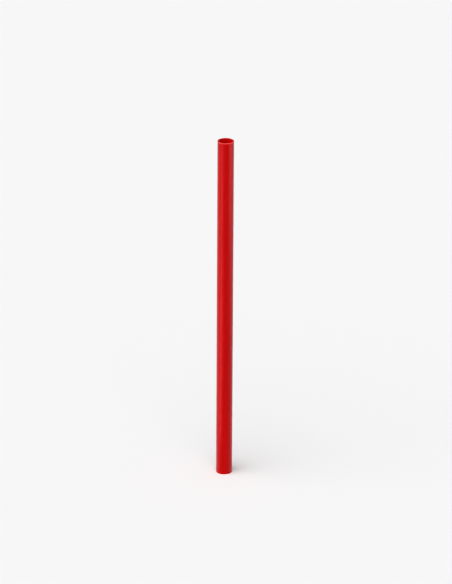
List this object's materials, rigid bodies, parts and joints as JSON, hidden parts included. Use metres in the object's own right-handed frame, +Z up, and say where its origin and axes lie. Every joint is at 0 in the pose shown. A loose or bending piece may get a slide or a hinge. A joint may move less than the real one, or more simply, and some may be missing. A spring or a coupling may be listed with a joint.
{
  "type": "plastic drinking straw",
  "caption": "Straight wide drinking straw: a thin-walled round plastic tube, open and cut square at both ends.",
  "frame": {"origin": "centre of the lower cut end, at the level of the surface that the straw stands on", "axes": "+Z up the straw along its own axis; the straw is round, so X and Y are alike"},
  "size_m": [0.01, 0.01, 0.22],
  "materials": {
    "red_plastic": "satin"
  },
  "bodies": {
    "root": {"straw": "red_plastic"}
  },
  "joints": []
}
